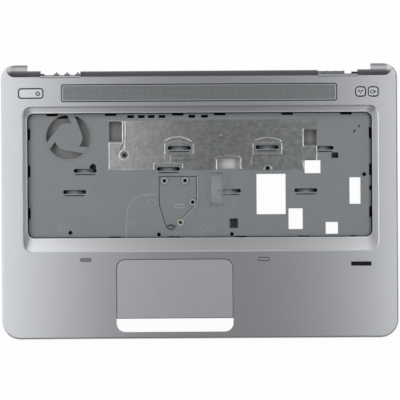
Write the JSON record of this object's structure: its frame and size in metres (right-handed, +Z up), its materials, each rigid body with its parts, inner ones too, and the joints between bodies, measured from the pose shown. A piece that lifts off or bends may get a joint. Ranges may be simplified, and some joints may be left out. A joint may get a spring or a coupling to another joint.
{
  "type": "laptop palm rest",
  "caption": "Top cover of a notebook with open keyboard bay, touchpad, perforated speaker grille, power button and side keys; the lower case screws on from below.",
  "frame": {"origin": "middle of the plan outline, on the surface that the skirt's lower edge rests on", "axes": "+X to the user's right along the long side, +Y back towards the display hinges, +Z up out of the deck"},
  "size_m": [0.338, 0.234, 0.0125],
  "materials": {
    "silver_cover": "satin metallic silver paint over grey moulded resin",
    "silver_keys": "satin metallic silver paint",
    "touch_surface": "fine matt silver paint",
    "grille_metal": "dark silver paint on perforated sheet",
    "black_cloth": "fine acoustic cloth",
    "stamped_sheet": "scratched rolled sheet",
    "clear_film": "thin clear film",
    "grey_resin": "moulded grey resin",
    "switch_black": "moulded",
    "circuit_board": "green solder mask",
    "connector_plastic": "moulded",
    "screw_steel": "black zinc",
    "sensor_black": "polished coating",
    "bumper_rubber": "matt grey rubber",
    "insert_brass": "turned"
  },
  "bodies": {
    "root": {"top_cover": "silver_cover", "speaker_grille": "grille_metal", "grille_dust_mesh": "black_cloth", "keyboard_shield_plate": "stamped_sheet", "clear_tape": "clear_film", "cable_guide": "grey_resin", "power_tact_switch": "switch_black", "wireless_tact_switch": "switch_black", "mute_tact_switch": "switch_black", "power_switch_board": "circuit_board", "quick_switch_board": "circuit_board", "board_screws": "screw_steel", "touchpad_sheet": "touch_surface", "touchpad_board": "circuit_board", "touchpad_connector": "connector_plastic", "touchpad_bracket": "stamped_sheet", "fingerprint_sensor": "sensor_black", "fingerprint_board": "circuit_board", "left_bumper": "bumper_rubber", "threaded_inserts": "insert_brass", "tray_insert": "insert_brass"},
    "power_key": {"power_button": "silver_keys", "power_switch_plunger": "switch_black"},
    "wireless_key": {"wireless_button": "silver_keys", "wireless_switch_plunger": "switch_black"},
    "mute_key": {"mute_button": "silver_keys", "mute_switch_plunger": "switch_black"}
  },
  "joints": [
    {"name": "power_press", "type": "slide", "parent": "root", "child": "power_key", "axis": [0, 0, -1], "range_m": [0, 0.0004], "stiffness_N_per_m": 800},
    {"name": "wireless_press", "type": "slide", "parent": "root", "child": "wireless_key", "axis": [0, 0, -1], "range_m": [0, 0.0004], "stiffness_N_per_m": 800},
    {"name": "mute_press", "type": "slide", "parent": "root", "child": "mute_key", "axis": [0, 0, -1], "range_m": [0, 0.0004], "stiffness_N_per_m": 800}
  ]
}
